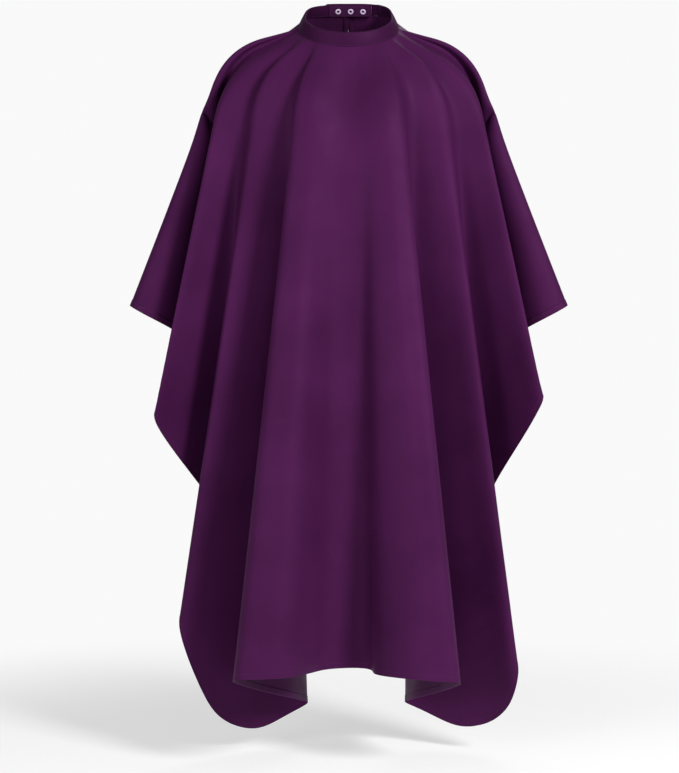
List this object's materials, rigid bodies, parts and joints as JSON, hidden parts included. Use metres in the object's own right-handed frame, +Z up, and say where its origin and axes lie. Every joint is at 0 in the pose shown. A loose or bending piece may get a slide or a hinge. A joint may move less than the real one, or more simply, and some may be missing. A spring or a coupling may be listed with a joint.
{
  "type": "barber cape",
  "caption": "Hairdressing cape of satin cloth draped from the shoulders, with a standing neckband that snaps shut behind the neck.",
  "frame": {"origin": "centre of the neck seam, where the neckband meets the cloth", "axes": "+Z up, -Y out of the wearer's chest, +X to the wearer's left"},
  "size_m": [0.8108, 0.4652, 1.3072],
  "materials": {
    "cape_satin": "smooth satin weave with a soft sheen",
    "band_lining": "plain weave, matt",
    "binding_tape": "narrow woven tape, matt",
    "interlining": "stiff non-woven",
    "snap_resin": "moulded, semi-gloss"
  },
  "bodies": {
    "cape_body": {"cape_cloth": "cape_satin", "slit_binding_left": "binding_tape", "slit_binding_right": "binding_tape", "neckband_outer_ply": "cape_satin", "neckband_inner_ply": "band_lining", "neckband_interlining": "interlining", "snap_patch": "band_lining", "snap_stud_1": "snap_resin", "snap_stud_2": "snap_resin", "snap_stud_3": "snap_resin", "snap_ring_1": "snap_resin", "snap_ring_2": "snap_resin", "snap_ring_3": "snap_resin"},
    "tab_root": {"tab_root_outer_ply": "cape_satin", "tab_root_inner_ply": "band_lining", "snap_cap_1": "snap_resin", "snap_socket_1": "snap_resin"},
    "tab_middle": {"tab_middle_outer_ply": "cape_satin", "tab_middle_inner_ply": "band_lining", "snap_cap_2": "snap_resin", "snap_socket_2": "snap_resin"},
    "tab_tip": {"tab_tip_outer_ply": "cape_satin", "tab_tip_inner_ply": "band_lining", "snap_cap_3": "snap_resin", "snap_socket_3": "snap_resin"}
  },
  "joints": [
    {"name": "tab_root_bend", "type": "hinge", "parent": "cape_body", "child": "tab_root", "pos_m": [0.04372, 0.05499, 0.04037], "axis": [0, 0.454, -0.891], "range_deg": [0, 40]},
    {"name": "tab_middle_bend", "type": "hinge", "parent": "tab_root", "child": "tab_middle", "pos_m": [0.01526, 0.05671, 0.04124], "axis": [0, 0.454, -0.891], "range_deg": [0, 40]},
    {"name": "tab_tip_bend", "type": "hinge", "parent": "tab_middle", "child": "tab_tip", "pos_m": [-0.00725, 0.05675, 0.04126], "axis": [0, 0.454, -0.891], "range_deg": [0, 40]}
  ]
}
